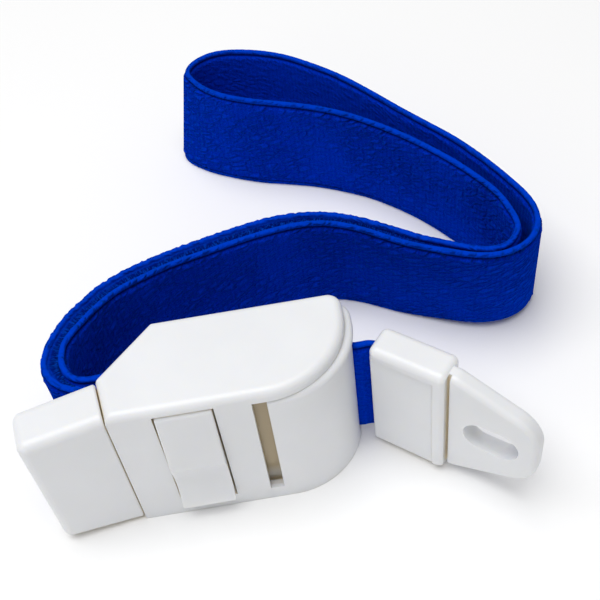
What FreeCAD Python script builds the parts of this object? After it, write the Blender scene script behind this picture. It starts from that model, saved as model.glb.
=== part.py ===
import FreeCAD, Part
import Sketcher
import math
import os

# One-hand quick-release tourniquet, millimetres.  The buckle lies on its side plate (Z = 0) with
# its length along X, the arm side towards +Y and the release key towards -Y.  The strap stands
# on edge.  The origin is the middle of the housing's outline, on its resting face.

doc = FreeCAD.newDocument("Tourniquet")
sheet = doc.addObject("Spreadsheet::Sheet", "Size")

SIZES = (
    ("housing_length", 42.6),      # along X, at the front wall
    ("housing_depth", 19.2),       # along Y, key side to arm side
    ("housing_height", 33.0),      # along Z, across the strap
    ("wall", 1.6),
    ("floor_plate", 2.0),
    ("drum_radius", 14.4),         # round front-right corner
    ("rear_round", 3.5),
    ("lid_rear_round", 2.5),
    ("seam_slant", 1.6),           # the left end leans back by this much
    ("seam_depth", 8.8),
    ("shoulder_length", 8.1),      # the slanted rear-left shoulder, along X
    ("lid_inset", 1.3),            # the lid steps in from the drum's wall
    ("drum_height", 30.6),
    ("lid_round", 1.5),
    ("drum_round", 1.2),
    ("window_left", 2.4),
    ("window_width", 2.5),
    ("window_sill", 3.4),
    ("screen_y", -7.5),            # the wall behind the window
    ("screen_foot", 8.6),          # below this the wall is thinner
    ("passage_left", 17.8),        # the strap passes under the drum's rim at the right end
    ("passage_front", 0.05),
    ("passage_top", 29.2),
    ("key_opening_left", -13.95),
    ("key_opening_width", 10.2),
    ("key_opening_sill", 3.4),
    ("key_gap", 0.3),
    ("key_top", 30.9),
    ("key_ridge_height", 16.8),
    ("key_ridge_stand", 1.6),
    ("key_lip_height", 4.3),
    ("key_lip_stand", 2.0),
    ("key_pin_y", -6.4),
    ("key_pin_z", 28.9),
    ("pin_radius", 0.8),
    ("fit_gap", 0.05),             # running clearance of a hub on its pin
    ("strap_width", 25.0),
    ("strap_thickness", 1.8),
    ("strap_lift", 3.7),           # height of the strap inside the housing
    ("roller_x", -1.2),
    ("roller_y", 3.25),
    ("roller_radius", 2.2),
    ("wrap_radius", 3.3),          # middle of the strap round the roller
    ("grip_angle", 10.3),          # the pull end leans towards the key side
    ("grip_length", 14.6),
    ("grip_thickness", 8.8),
    ("grip_round", 1.8),
    ("grip_seam_round", 0.45),
    ("grip_gap", 0.15),
    ("grip_pocket_depth", 11.4),
    ("cam_pin_x", -15.7),
    ("cam_pin_y", -6.2),
    ("latch_pin_x", 2.6),
    ("latch_pin_y", -4.6),
    ("hub_radius", 1.7),
    ("screw_radius", 0.9),
    ("screw_head_radius", 1.7),
    ("boss_radius", 1.6),
    ("tongue_angle", -39.2),
    ("tongue_block_length", 14.6),
    ("tongue_height", 28.0),
    ("tongue_thickness", 6.4),
    ("tongue_tip_length", 16.6),
    ("tongue_tip_thickness", 3.4),
    ("tongue_tip_height", 27.0),
    ("tongue_nose_radius", 7.4),
    ("eyelet_length", 10.2),
    ("eyelet_height", 6.8),
    ("eyelet_from_block", 8.2),
    ("tongue_round", 1.4),
)
for row, (alias, value) in enumerate(SIZES, start=1):
    sheet.set(f"A{row}", alias)
    sheet.set(f"B{row}", str(value))
    sheet.setAlias(f"B{row}", alias)
doc.recompute()

# Places that several pieces share, as expressions of the sheet's cells.
LEFT = "(-Size.housing_length / 2)"
RIGHT = "(Size.housing_length / 2)"
FRONT = "(-Size.housing_depth / 2)"
BACK = "(Size.housing_depth / 2)"
TOP = "Size.housing_height"
INNER_FRONT = f"({FRONT} + Size.wall)"
INNER_BACK = f"({BACK} - Size.wall)"
INNER_RIGHT = f"({RIGHT} - Size.wall)"
TOLERANCE = 1e-4


def size(alias):
    return float(sheet.get(alias))


def value(expression):
    """The number that an expression of the sheet gives."""
    result = sheet.evalExpression(str(expression))
    return float(getattr(result, "Value", result))


def bind(item, **properties):
    for name, expression in properties.items():
        item.setExpression(name.replace("_", "."), str(expression))
    return item


def place(item, x, y, z):
    for axis, expression in zip("xyz", (x, y, z)):
        item.setExpression(f"Placement.Base.{axis}", str(expression))
    return item


def box(name, low, high):
    """A box between two corners, each given as three expressions."""
    item = doc.addObject("Part::Box", name)
    for prop, start, end in zip(("Length", "Width", "Height"), low, high):
        item.setExpression(prop, f"({end}) - ({start})")
    return place(item, *low)


TURNS = {
    "z": FreeCAD.Rotation(),
    "x": FreeCAD.Rotation(FreeCAD.Vector(0, 1, 0), 90),
}


def cylinder(name, start, radius, length, along="z"):
    item = doc.addObject("Part::Cylinder", name)
    item.setExpression("Radius", str(radius))
    item.setExpression("Height", str(length))
    item.Placement.Rotation = TURNS[along]
    return place(item, *start)


def fuse(label, *items):
    item = doc.addObject("Part::MultiFuse", label)
    item.Shapes = list(items)
    item.Refine = True
    item.Label = label
    return item


def cut(label, base, *tools):
    tool = tools[0] if len(tools) == 1 else fuse(f"{label}_tools", *tools)
    item = doc.addObject("Part::Cut", label)
    item.Base = base
    item.Tool = tool
    item.Refine = True
    item.Label = label
    return item


def moved(label, item, x, y, z, angle):
    """Name a finished piece, turn it by angle about Z and put its own origin at x, y, z."""
    item.Label = label
    turn = FreeCAD.Rotation(FreeCAD.Vector(0, 0, 1), angle)
    item.Placement = FreeCAD.Placement(FreeCAD.Vector(x, y, z), turn)


def soften(label, base, radius, wanted):
    """Round the edges of a solid that wanted() picks."""
    doc.recompute()
    item = doc.addObject("Part::Fillet", label)
    item.Base = base
    item.Edges = [(number, radius, radius)
                  for number, edge in enumerate(base.Shape.Edges, start=1) if wanted(edge)]
    item.Label = label
    return item


# A sketch plane's normal, and the model axes that its own x and y run along.
PLANES = {
    "XY_Plane": (FreeCAD.Vector(0, 0, 1), (0, 1)),
    "YZ_Plane": (FreeCAD.Vector(1, 0, 0), (1, 2)),
    "XZ_Plane": (FreeCAD.Vector(0, -1, 0), (0, 2)),
}


def prism(name, points, start, length, rounds=(), plane="XY_Plane", soft=(), soft_radius=None):
    """A PartDesign body: a closed outline of corner points, padded along the plane's normal.

    rounds holds (corner numbers, radius) pairs.  soft holds the levels along the normal, as
    expressions, whose outline edges are rounded by soft_radius.
    """
    body = doc.addObject("PartDesign::Body", name)
    support = [item for item in body.Origin.OriginFeatures if item.Role == plane][0]
    sketch = body.newObject("Sketcher::SketchObject", f"{name}_outline")
    sketch.AttachmentSupport = [(support, "")]
    sketch.MapMode = "FlatFace"
    sketch.setExpression("AttachmentOffset.Base.z", str(start))
    corners = [(value(x), value(y)) for x, y in points]
    count = len(corners)
    for index, (x, y) in enumerate(corners):
        next_x, next_y = corners[(index + 1) % count]
        segment = Part.LineSegment(FreeCAD.Vector(x, y, 0), FreeCAD.Vector(next_x, next_y, 0))
        sketch.addGeometry(segment, False)
    for index in range(count):
        sketch.addConstraint(Sketcher.Constraint("Coincident", index, 2, (index + 1) % count, 1))
    for index, point in enumerate(points):
        for kind, expression, number in zip(("DistanceX", "DistanceY"), point, corners[index]):
            line = sketch.addConstraint(Sketcher.Constraint(kind, -1, 1, index, 1, number))
            sketch.setExpression(f"Constraints[{line}]", str(expression))
    pad = body.newObject("PartDesign::Pad", f"{name}_pad")
    pad.Profile = sketch
    pad.setExpression("Length", str(length))
    doc.recompute()
    normal, across = PLANES[plane]
    feature = pad
    for number, (chosen, radius) in enumerate(rounds):
        wanted = [corners[index] for index in chosen]
        feature = body_fillet(body, feature, f"{name}_round_{number}", radius,
                              lambda edge: is_corner_edge(edge, normal, across, wanted))
    if soft:
        levels = [value(level) for level in soft]
        feature = body_fillet(body, feature, f"{name}_soft", soft_radius,
                              lambda edge: is_level_edge(edge, normal, levels))
    body.Tip = feature
    return body


def body_fillet(body, base, name, radius, wanted):
    names = [f"Edge{number}" for number, edge in enumerate(base.Shape.Edges, start=1) if wanted(edge)]
    fillet = body.newObject("PartDesign::Fillet", name)
    fillet.Base = (base, names)
    fillet.setExpression("Radius", str(radius))
    doc.recompute()
    return fillet


def is_corner_edge(edge, normal, across, corners):
    """An edge along the normal, through one of the outline's corners."""
    ends = [vertex.Point for vertex in edge.Vertexes]
    if len(ends) != 2 or abs((ends[0] - ends[1]).dot(normal)) < TOLERANCE:
        return False
    return any(all(abs(end[axis] - place_at) < TOLERANCE
                   for end in ends for axis, place_at in zip(across, corner))
               for corner in corners)


def is_level_edge(edge, normal, levels):
    """An edge that lies in one of the planes across the normal."""
    start, span = edge.FirstParameter, edge.LastParameter - edge.FirstParameter
    reach = [edge.valueAt(start + share * span).dot(normal) for share in (0, 0.3, 0.7, 1)]
    flat = max(reach) - min(reach) < TOLERANCE
    return flat and any(abs(reach[0] - level) < TOLERANCE for level in levels)


# ---------------------------------------------------------------- housing

OUTLINE = (
    (LEFT, FRONT),
    (RIGHT, FRONT),
    (RIGHT, BACK),
    (f"{LEFT} + Size.shoulder_length", BACK),
    (f"{LEFT} - Size.seam_slant", f"{FRONT} + Size.seam_depth"),
)
INSIDE = (
    (f"{LEFT} + Size.wall", INNER_FRONT),
    (INNER_RIGHT, INNER_FRONT),
    (INNER_RIGHT, INNER_BACK),
    (f"{LEFT} + Size.shoulder_length + Size.wall / 2", INNER_BACK),
    (f"{LEFT} - Size.seam_slant + Size.wall", f"{FRONT} + Size.seam_depth - Size.wall / 4"),
)
WINDOW_RIGHT = "(Size.window_left + Size.window_width)"
KEY_LEFT = "(Size.key_opening_left + Size.key_gap)"
KEY_RIGHT = "(Size.key_opening_left + Size.key_opening_width - Size.key_gap)"
KEY_PIN_START = "(Size.key_opening_left - 1.4)"
KEY_PIN_LENGTH = "(Size.key_opening_width + 2.8)"
BOSSES = (("-19", "-7.3"), ("-10.6", "1.17"), ("15.6", "-1.7"))
PIN_PLACES = (
    ("Size.cam_pin_x", "Size.cam_pin_y"),
    ("Size.latch_pin_x", "Size.latch_pin_y"),
    ("Size.roller_x", "Size.roller_y"),
)
BOSS_FOOT = "(Size.floor_plate + 0.05)"
SCREW_HEAD_DEPTH = 1.0


def housing_base():
    """Side plate with the arm-side wall, the drum wall, the left end and the strap's anvil."""
    outer = prism("base_outer", OUTLINE, 0, "Size.drum_height",
                  rounds=[((1,), "Size.drum_radius"), ((2,), "Size.rear_round"), ((3, 4), "0.8")],
                  soft=("Size.drum_height",), soft_radius="Size.drum_round")
    inner = prism("base_cavity", INSIDE, "Size.floor_plate", "Size.housing_height",
                  rounds=[((1,), "Size.drum_radius - Size.wall")])
    key_side = box("base_key_side", (f"{LEFT} - 3", f"{FRONT} - 3", "-1"),
                   ("Size.window_left", INNER_FRONT, "Size.housing_height"))
    window = box("base_window", ("Size.window_left - 1", f"{FRONT} - 3", "Size.window_sill"),
                 (WINDOW_RIGHT, f"{INNER_FRONT} + 1", "Size.housing_height"))
    passage = box("base_strap_passage", ("Size.passage_left", "Size.passage_front", "Size.floor_plate"),
                  (f"{RIGHT} + 1", f"{BACK} + 1", "Size.passage_top"))
    strap_entry = box("base_strap_entry", (f"{LEFT} - 3", "-0.1", "3.3"),
                      (f"{LEFT} + 6", "3.6", "Size.housing_height"))
    tail_exit = box("base_tail_exit", (f"{LEFT} - 3", "-5.3", "3.3"),
                    (f"{LEFT} + 3", "-2.3", "Size.housing_height"))
    boss_room = cylinder("base_boss_room", (*BOSSES[0], "Size.floor_plate"), "Size.boss_radius + 0.2",
                         "Size.housing_height")
    shell = cut("base_shell", outer, inner, key_side, window, passage, strap_entry, tail_exit, boss_room)
    anvil = box("base_anvil", ("-16.9", "-1.4", "1"), ("-14.7", "1.3", "Size.drum_height - 0.6"))
    screen_right, screen_back = f"{WINDOW_RIGHT} + 0.8", "Size.screen_y + 0.8"
    screen = box("base_window_screen", ("Size.window_left - 0.4", "Size.screen_y", "Size.screen_foot"),
                 (screen_right, screen_back, "Size.drum_height"))
    screen_low = box("base_screen_foot", ("Size.window_left - 0.4", "Size.screen_y + 0.4", "1"),
                     (screen_right, screen_back, "Size.screen_foot + 1"))
    screen_rib = box("base_screen_rib", (f"{WINDOW_RIGHT} + 0.2", f"{INNER_FRONT} - 0.5", "1"),
                     (screen_right, screen_back, "Size.drum_height - 1"))
    holes = [cylinder(f"base_screw_hole_{number}", (x, y, "-1"), "Size.screw_radius + 0.1",
                      "Size.floor_plate + 2") for number, (x, y) in enumerate(BOSSES, start=1)]
    sinks = [cylinder(f"base_screw_sink_{number}", (x, y, "-1"), "Size.screw_head_radius + 0.1",
                      f"{SCREW_HEAD_DEPTH} + 1") for number, (x, y) in enumerate(BOSSES, start=1)]
    sockets = [cylinder(f"base_pin_socket_{number}", (x, y, "1"), "Size.pin_radius", "2")
               for number, (x, y) in enumerate(PIN_PLACES, start=1)]
    solid = fuse("base_solid", shell, anvil, screen, screen_low, screen_rib)
    return cut("housing_base", solid, *holes, *sinks, *sockets)


def housing_cover():
    """Lid and key-side wall in one piece, with the key opening, screw bosses and key bearings."""
    edge = f"({RIGHT} - Size.lid_inset)"
    outline = (OUTLINE[0], (edge, FRONT), (edge, BACK), OUTLINE[3], OUTLINE[4])
    lid = prism("cover_lid", outline, "Size.drum_height + 0.05", f"{TOP} - Size.drum_height - 0.05",
                rounds=[((1,), "Size.drum_radius + 0.6"), ((2,), "Size.lid_rear_round"), ((3, 4), "0.8")],
                soft=(TOP,), soft_radius="Size.lid_round")
    wall = box("cover_wall", (LEFT, FRONT, "0"),
               ("Size.window_left", f"{INNER_FRONT} - 0.05", "Size.drum_height + 1"))
    boss_length = f"Size.drum_height + 1 - {BOSS_FOOT}"
    bosses = [cylinder(f"cover_boss_{number}", (x, y, BOSS_FOOT), "Size.boss_radius", boss_length)
              for number, (x, y) in enumerate(BOSSES, start=1)]
    key_opening_right = "(Size.key_opening_left + Size.key_opening_width)"
    lug_ends = ((KEY_PIN_START, "Size.key_opening_left"),
                (key_opening_right, f"{KEY_PIN_START} + {KEY_PIN_LENGTH}"))
    lugs = [box(f"cover_lug_{number}", (low, f"{INNER_FRONT} - 0.5", "27.2"),
                (high, "-4.7", "Size.drum_height + 1"))
            for number, (low, high) in enumerate(lug_ends, start=1)]
    opening = box("cover_key_opening", ("Size.key_opening_left", f"{FRONT} - 3", "Size.key_opening_sill"),
                  (key_opening_right, "-4.2", "31.3"))
    pilots = [cylinder(f"cover_pilot_{number}", (x, y, "0"), "Size.screw_radius", "9")
              for number, (x, y) in enumerate(BOSSES, start=1)]
    bearing = cylinder("cover_key_bearing", (KEY_PIN_START, "Size.key_pin_y", "Size.key_pin_z"),
                       "Size.pin_radius", KEY_PIN_LENGTH, along="x")
    sockets = [cylinder(f"cover_pin_socket_{number}", (x, y, "Size.drum_height - 1"), "Size.pin_radius",
                        "1.9") for number, (x, y) in enumerate(PIN_PLACES[1:], start=1)]
    sink = cylinder("cover_screw_sink", (*BOSSES[0], "-1"), "Size.screw_head_radius + 0.1",
                    f"{SCREW_HEAD_DEPTH} + 1")
    return cut("housing_cover", fuse("cover_solid", lid, wall, *bosses, *lugs), opening, bearing, sink,
               *pilots, *sockets)


def cover_screws():
    """Self-tapping screws from below, their pan heads sunk in the side plate."""
    long_half, thin_half, recess_top = 1.1, 0.2, "0.55"
    for number, (x, y) in enumerate(BOSSES, start=1):
        head = cylinder(f"screw_head_{number}", (x, y, "0.1"), "Size.screw_head_radius", "0.9")
        shank = cylinder(f"screw_shank_{number}", (x, y, "0.5"), "Size.screw_radius", "7.5")
        slots = [box(f"screw_{name}_{number}", (f"{x} - {along}", f"{y} - {across}", "-1"),
                     (f"{x} + {along}", f"{y} + {across}", recess_top))
                 for name, along, across in (("slot", long_half, thin_half), ("cross", thin_half, long_half))]
        cut(f"cover_screw_{number}", fuse(f"screw_solid_{number}", head, shank), *slots)


# ---------------------------------------------------------------- release key, cam and latch

def release_key():
    """Rocker key: flush at its pinned top, standing out at the ridge, scooped for the thumb below."""
    ridge = f"{FRONT} - Size.key_ridge_stand"
    lip = f"{FRONT} - Size.key_lip_stand"
    back = "-7.4"
    profile = ((f"{FRONT} - 0.2", "Size.key_top"), (ridge, "Size.key_ridge_height"),
               (lip, "Size.key_lip_height"), (back, "Size.key_lip_height"), (back, "Size.key_top"))
    slab = prism("key_slab", profile, KEY_LEFT, f"{KEY_RIGHT} - {KEY_LEFT}", plane="YZ_Plane",
                 rounds=[((0,), "0.9"), ((2,), "0.7")],
                 soft=(KEY_LEFT, KEY_RIGHT), soft_radius="0.35")
    scoop_radius, scoop_y, scoop_z = 15, "-25.03", "10.99"
    scoop = cylinder("key_scoop", ("-20", scoop_y, scoop_z), scoop_radius, "30", along="x")
    hub = cylinder("key_hub", (KEY_LEFT, "Size.key_pin_y", "Size.key_pin_z"), "1.7",
                   f"{KEY_RIGHT} - {KEY_LEFT}", along="x")
    bore = cylinder("key_bore", ("-20", "Size.key_pin_y", "Size.key_pin_z"),
                    "Size.pin_radius + Size.fit_gap", "30", along="x")
    spring_room = box("key_spring_room", ("-10.6", "-8.15", "26.6"), ("-7", "-4", "Size.housing_height"))
    cam_nub = box("key_cam_nub", ("-10.4", f"{back} - 0.3", "17.5"), ("-9.4", "-6", "19"))
    latch_nub = box("key_latch_nub", ("-5.7", f"{back} - 0.3", "8.4"), ("-4.5", "-6.9", "10.4"))
    cut("release_key", fuse("key_solid", cut("key_scooped", slab, scoop), hub, cam_nub, latch_nub),
        bore, spring_room)


def pin(label, start, length, along="z"):
    item = cylinder(label, start, "Size.pin_radius", length, along)
    item.Label = label
    return item


def pins():
    pin("key_pin", (KEY_PIN_START, "Size.key_pin_y", "Size.key_pin_z"), KEY_PIN_LENGTH, along="x")
    pin("cam_pin", (*PIN_PLACES[0], "1"), "25.4")
    pin("latch_pin", (*PIN_PLACES[1], "1"), "Size.drum_height - 0.2")
    pin("roller_pin", (*PIN_PLACES[2], "1"), "Size.drum_height - 0.2")


def torsion_coil(label, start, along, leg_low, leg_high):
    """Close-wound torsion spring: touching turns of wire, with one leg."""
    wire, middle, turns = 0.28, 1.32, 5
    axis = {"z": (0, 0, 1), "x": (1, 0, 0)}[along]
    rings = []
    for turn in range(turns):
        ring = doc.addObject("Part::Torus", f"{label}_turn_{turn}")
        ring.Radius1 = middle
        ring.Radius2 = wire
        ring.Placement.Rotation = TURNS[along]
        rise = wire + turn * wire * 1.8
        rings.append(place(ring, *(f"{at} + {rise * step}" for at, step in zip(start, axis))))
    leg = box(f"{label}_leg", leg_low, leg_high)
    return fuse(label, *rings, leg)


def springs():
    torsion_coil("key_spring", ("-10.2", "Size.key_pin_y", "Size.key_pin_z"), "x",
                 ("-10.1", "-6.6", "30"), ("-9.7", "-6.2", "31.2"))
    torsion_coil("cam_spring", (*PIN_PLACES[0], "Size.floor_plate + 0.02"), "z",
                 ("Size.cam_pin_x - 0.2", "Size.cam_pin_y - 1.7", "Size.floor_plate + 0.1"),
                 ("Size.cam_pin_x + 0.2", "Size.cam_pin_y - 1.1", "Size.floor_plate + 0.5"))
    torsion_coil("latch_spring", (*PIN_PLACES[1], "Size.floor_plate + 0.02"), "z",
                 ("Size.latch_pin_x - 0.2", "Size.latch_pin_y - 2", "Size.floor_plate + 0.1"),
                 ("Size.latch_pin_x + 0.2", "Size.latch_pin_y - 1.1", "Size.floor_plate + 0.5"))


def offset(origin, shifts):
    return [(f"{origin[0]} + {x}", f"{origin[1]} + {y}") for x, y in shifts]


def strap_cam():
    """Toothed cam that pinches the pull strand against the anvil, with the key's release arm."""
    pivot = PIN_PLACES[0]
    foot = "5"
    teeth = ((-1.6, 0.2), (-1.75, 1.5), (-1.45, 1.95), (-1.05, 1.6), (-0.85, 2.12), (-0.4, 1.75),
             (-0.15, 2.3), (0.35, 1.7), (1, 0.2))
    nose = prism("cam_nose", offset(pivot, teeth), foot, "21")
    hub = cylinder("cam_hub", (*pivot, foot), "Size.hub_radius", "21")
    arm = prism("cam_arm", offset(pivot, ((0, 0.3), (2, 0.5), (6.4, 0.5), (6.4, 1.5), (0, 1.5))), "15", "4.8",
                rounds=[((2, 3), "0.3")])
    bore = cylinder("cam_bore", (*pivot, "0"), "Size.pin_radius + Size.fit_gap", "30")
    cut("strap_cam", fuse("cam_solid", nose, hub, arm), bore)


def latch_lever():
    """Two-armed latch: the key pushes the left arm, and the hook leaves the tongue's eyelet."""
    pivot = PIN_PLACES[1]
    hub = cylinder("latch_hub", (*pivot, "7.4"), "Size.hub_radius", "20.8")
    left = prism("latch_left_arm", offset(pivot, ((0, -1.5), (-8.2, -2), (-8.2, -0.9), (0, 0.8))), "7.4", "4",
                 rounds=[((1, 2), "0.4")])
    hook = ((0, -0.1), (8.4, -0.1), (8.4, 9.8), (7.2, 9.8), (6.2, 8.6), (6.2, 1.6), (0, 1.6))
    right = prism("latch_right_arm", offset(pivot, hook), "13.6", "5.8",
                  rounds=[((1,), "0.8"), ((2, 3), "0.3"), ((5,), "0.8")])
    bore = cylinder("latch_bore", (*pivot, "0"), "Size.pin_radius + Size.fit_gap", "40")
    cut("latch_lever", fuse("latch_solid", hub, left, right), bore)


def guide_roller():
    """The strap turns back round this roller on its way to the pull end."""
    drum = cylinder("roller_drum", (*PIN_PLACES[2], "Size.strap_lift - 0.4"), "Size.roller_radius",
                    "Size.strap_width + 0.8")
    bore = cylinder("roller_bore", (*PIN_PLACES[2], "0"), "Size.pin_radius + Size.fit_gap", "40")
    cut("guide_roller", drum, bore)


# ---------------------------------------------------------------- pull grip

GRIP_TURN = 90 + size("grip_angle")


def grip():
    """Pull grip: a tapered block with a strap pocket, and the toothed jaw that holds the strap."""
    block = doc.addObject("Part::Wedge", "grip_wedge_block")
    bind(block, Xmin="0", Xmax="Size.grip_thickness", Ymin="0", Ymax="Size.grip_length",
         Zmin="0.15", Zmax=f"{TOP} - 0.15", X2min="0.2", X2max="Size.grip_thickness - 0.2",
         Z2min="1.3", Z2max=f"{TOP} - 1.4")
    outer = soften("grip_outer", block, size("grip_round"),
                   lambda edge: max(vertex.Y for vertex in edge.Vertexes) > TOLERANCE)
    seam = soften("grip_soft", outer, size("grip_seam_round"),
                  lambda edge: max(vertex.Y for vertex in edge.Vertexes) < TOLERANCE)
    pocket = box("grip_pocket", ("3.3", "-1", "3.3"), ("6.7", "Size.grip_pocket_depth", "29.1"))
    cut_block = cut("grip_hollow", seam, pocket)
    jaw = box("grip_jaw_bar", ("3.35", "1.2", "4"), ("4.78", "11.2", "28.4"))
    teeth = [box(f"grip_jaw_gap_{number}", ("4.35", f"{at}", "3"), ("5", f"{at} + 0.8", "30"))
             for number, at in enumerate((2.4, 4.2, 6.0, 7.8, 9.6), start=1)]
    cut_jaw = cut("grip_jaw_toothed", jaw, *teeth)
    a = math.radians(size("grip_angle"))
    corner_x = value(LEFT) - size("grip_gap") * math.cos(a)
    corner_y = value(FRONT) - size("grip_gap") * math.sin(a)
    moved("grip_block", cut_block, corner_x, corner_y, 0, GRIP_TURN)
    moved("grip_jaw", cut_jaw, corner_x, corner_y, 0, GRIP_TURN)


# ---------------------------------------------------------------- tongue

TONGUE_AT = (22.68, -1.37, 1.2)
POCKET_FRONT, POCKET_BACK = 1.8, 4.3     # the strap's pocket, through the tongue's thickness
POCKET_DEPTH = 10.8


def tongue():
    """Insert tongue: a block that holds the strap's fixed end, and a tapered tip with the eyelet."""
    block = box("tongue_block", ("0", "0", "0"),
                ("Size.tongue_block_length", "Size.tongue_thickness", "Size.tongue_height"))
    soft_block = soften("tongue_soft_block", block, size("tongue_round"), lambda edge: True)
    low = "(Size.tongue_height - Size.tongue_tip_height) / 2"
    high = "(Size.tongue_height + Size.tongue_tip_height) / 2"
    nose_low = "Size.tongue_height / 2 - Size.tongue_nose_radius"
    nose_high = "Size.tongue_height / 2 + Size.tongue_nose_radius"
    reach = "Size.tongue_block_length + Size.tongue_tip_length"
    root = "Size.tongue_block_length - 3"
    shoulder = "Size.tongue_block_length + 1.2"
    tip_front = "1.3"
    tip_back = f"({tip_front} + Size.tongue_tip_thickness)"
    tip = prism("tongue_tip",
                ((root, low), (shoulder, low), (reach, nose_low), (reach, nose_high), (shoulder, high),
                 (root, high)),
                f"-{tip_back}", "Size.tongue_tip_thickness", plane="XZ_Plane",
                rounds=[((2, 3), "Size.tongue_nose_radius - 0.6"), ((1, 4), "3")],
                soft=(f"-{tip_front}", f"-{tip_back}"), soft_radius="1.1")
    eyelet_left = "(Size.tongue_block_length + Size.eyelet_from_block - Size.eyelet_length / 2)"
    eyelet_low = "(Size.tongue_height / 2 - Size.eyelet_height / 2)"
    eyelet = prism("tongue_eyelet",
                   ((eyelet_left, eyelet_low), (f"{eyelet_left} + Size.eyelet_length", eyelet_low),
                    (f"{eyelet_left} + Size.eyelet_length", f"{eyelet_low} + Size.eyelet_height"),
                    (eyelet_left, f"{eyelet_low} + Size.eyelet_height")),
                   "-10", "20", plane="XZ_Plane", rounds=[((0, 1, 2, 3), "Size.eyelet_height / 2 - 0.05")])
    groove = box("tongue_groove", ("Size.tongue_block_length - 0.25", "-1", "-1"),
                 ("Size.tongue_block_length + 0.35", "2.3", "Size.tongue_height + 1"))
    recess = box("tongue_recess", ("-1", "-1", "-1"), ("12.4", "1.9", "25.7"))
    pocket = box("tongue_pocket", ("-1", POCKET_FRONT, "0.95"), (POCKET_DEPTH, POCKET_BACK, "27.05"))
    bar_room = box("tongue_bar_room", ("5.8", "4", "1.8"), ("9.2", "5.25", "26.2"))
    solid = fuse("tongue_solid", soft_block, tip)
    body = cut("tongue_cut", solid, eyelet, groove, recess, pocket, bar_room)
    plate = box("tongue_plate", ("0", "0.55", "0"), ("12.3", "1.85", "25.6"))
    cover = soften("tongue_soft_plate", plate, 0.5, lambda edge: edge.CenterOfMass.y < 1.8)
    bar = box("tongue_bar_plain", ("5.9", "4.06", "2"), ("9.1", "5.15", "26"))
    bar_gaps = [box(f"tongue_bar_gap_{number}", (f"{at}", "3", "1"), (f"{at} + 0.6", "4.4", "27"))
                for number, at in enumerate((6.5, 7.7), start=1)]
    toothed = cut("tongue_bar_toothed", bar, *bar_gaps)
    for label, item in (("tongue_body", body), ("tongue_cover", cover), ("tongue_bar", toothed)):
        moved(label, item, *TONGUE_AT, size("tongue_angle"))


# ---------------------------------------------------------------- strap

def tangent_runs(points, radii):
    """Straight runs joined by tangent arcs: a list of ("line", start, end) and ("arc", ...)."""
    pieces = []
    at = points[0]
    for before, corner, after, radius in zip(points, points[1:], points[2:], radii):
        arrive = (corner - before).normalize()
        leave = (after - corner).normalize()
        turn = arrive.getAngle(leave)
        reach = radius * math.tan(turn / 2)
        start = corner - arrive * reach
        end = corner + leave * reach
        side = 1 if arrive.cross(leave).z > 0 else -1
        normal = FreeCAD.Vector(-arrive.y, arrive.x, 0) * side
        pieces.append(("line", at, start))
        pieces.append(("arc", start, end, start + normal * radius, radius, side))
        at = end
    pieces.append(("line", at, points[-1]))
    return pieces


def side_edges(pieces, shift):
    """The path's parallel at a sideways shift, positive to the left."""
    edges = []
    for piece in pieces:
        if piece[0] == "line":
            start, end = piece[1], piece[2]
            along = (end - start).normalize()
            left = FreeCAD.Vector(-along.y, along.x, 0) * shift
            edges.append(Part.LineSegment(start + left, end + left).toShape())
        else:
            start, end, centre, radius, side = piece[1:]
            scale = (radius - side * shift) / radius
            first = centre + (start - centre) * scale
            last = centre + (end - centre) * scale
            middle = centre + ((start - centre) + (end - centre)).normalize() * radius * scale
            edges.append(Part.Arc(first, middle, last).toShape())
    return edges


def ribbon(label, points, radii, low, rise=0):
    """A strap standing on edge along a route, taller by rise; prints its length and volume."""
    thickness, width = size("strap_thickness"), size("strap_width")
    route = [FreeCAD.Vector(x, y, low) for x, y in points]
    pieces = tangent_runs(route, radii)
    left = side_edges(pieces, thickness / 2)
    right = side_edges(pieces, -thickness / 2)
    start_cap = Part.LineSegment(right[0].valueAt(right[0].FirstParameter),
                                 left[0].valueAt(left[0].FirstParameter)).toShape()
    end_cap = Part.LineSegment(left[-1].valueAt(left[-1].LastParameter),
                               right[-1].valueAt(right[-1].LastParameter)).toShape()
    outline = Part.Wire(Part.__sortEdges__(left + right + [start_cap, end_cap]))
    face = Part.Face(outline)
    if face.normalAt(0, 0).z < 0:
        face.reverse()
    solid = face.extrude(FreeCAD.Vector(0, 0, width + rise))
    item = doc.addObject("Part::Feature", label)
    item.Shape = solid
    length = sum(edge.Length for edge in side_edges(pieces, 0))
    full = length * thickness * (width + rise)
    print(f"{label}: length {length:.1f}, volume {item.Shape.Volume:.0f} of {full:.0f}, "
          f"smallest radius {min(radii, default=0):.1f}")
    return item


BEHIND = value(BACK) + 0.45 + size("strap_thickness") / 2
PASSAGE = 19.6                     # the strap's middle under the drum's rim, where it runs back
HINGE_Y = 1.3                      # the strap's middle between the housing and the tongue


def bend_radii(points, share=0.45):
    """As large an arc at each corner as its two runs allow."""
    radii = []
    for before, corner, after in zip(points, points[1:], points[2:]):
        a = FreeCAD.Vector(*before, 0)
        b = FreeCAD.Vector(*corner, 0)
        c = FreeCAD.Vector(*after, 0)
        turn = (b - a).getAngle(c - b)
        radii.append(share * min((b - a).Length, (c - b).Length) / math.tan(turn / 2))
    return radii


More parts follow.
